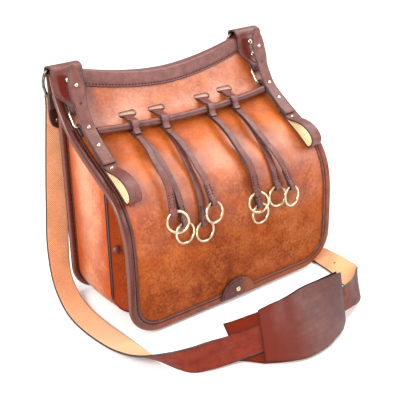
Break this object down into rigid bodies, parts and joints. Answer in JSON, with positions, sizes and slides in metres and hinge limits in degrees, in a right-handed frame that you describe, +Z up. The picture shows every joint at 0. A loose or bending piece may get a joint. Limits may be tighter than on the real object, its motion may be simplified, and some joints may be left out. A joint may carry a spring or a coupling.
{
  "type": "hunting pouch",
  "caption": "Brown leather hunting pouch with a bound flap, a game rod with thongs and brass rings, side loops and a padded shoulder strap lying round it.",
  "frame": {"origin": "middle of the bag's underside, on the surface it stands on", "axes": "+Z up, +X to the bag's right seen from the front, -Y out of the bag's front"},
  "size_m": [0.3865, 0.3281, 0.3136],
  "materials": {
    "tan_leather": "mottled burnished leather, satin",
    "dark_leather": "smooth dark leather, satin",
    "strap_leather": "smooth strap leather with a raw flesh side",
    "brass": "polished pale brass"
  },
  "bodies": {
    "root": {"back_panel": "tan_leather", "front_panel": "tan_leather", "gusset": "tan_leather", "flap": "tan_leather", "back_binding": "dark_leather", "flap_binding": "dark_leather", "top_binding": "dark_leather", "front_stud_left": "dark_leather", "front_stud_right": "dark_leather", "tab_left": "dark_leather", "tab_right": "dark_leather", "tab_rivet_left_1": "brass", "tab_rivet_left_2": "brass", "tab_rivet_right_1": "brass", "tab_rivet_right_2": "brass", "strap_ring_left": "brass", "strap_ring_right": "brass", "shoulder_strap": "strap_leather", "strap_rivet_left": "brass", "strap_rivet_right": "brass", "pad_base": "strap_leather", "pad_cover": "strap_leather", "buckle_left": "brass", "buckle_right": "brass", "carrier_strap_left": "dark_leather", "carrier_strap_right": "dark_leather", "carrier_loop_left": "dark_leather", "carrier_loop_right": "dark_leather", "carrier_rivet_left_1": "brass", "carrier_rivet_left_2": "brass", "carrier_rivet_left_3": "brass", "carrier_rivet_left_4": "brass", "carrier_rivet_right_1": "brass", "carrier_rivet_right_2": "brass", "carrier_rivet_right_3": "brass", "carrier_rivet_right_4": "brass", "game_rod": "dark_leather", "hanger_1": "dark_leather", "hanger_2": "dark_leather", "hanger_3": "dark_leather", "hanger_4": "dark_leather", "thong_1a": "dark_leather", "thong_1b": "dark_leather", "thong_2a": "dark_leather", "thong_2b": "dark_leather", "thong_3a": "dark_leather", "thong_3b": "dark_leather", "thong_4a": "dark_leather", "thong_4b": "dark_leather", "game_ring_1a": "brass", "game_ring_1b": "brass", "game_ring_2a": "brass", "game_ring_2b": "brass", "game_ring_3a": "brass", "game_ring_3b": "brass", "game_ring_4a": "brass", "game_ring_4b": "brass", "closure_tab": "dark_leather", "closure_rivet": "brass"}
  },
  "joints": []
}
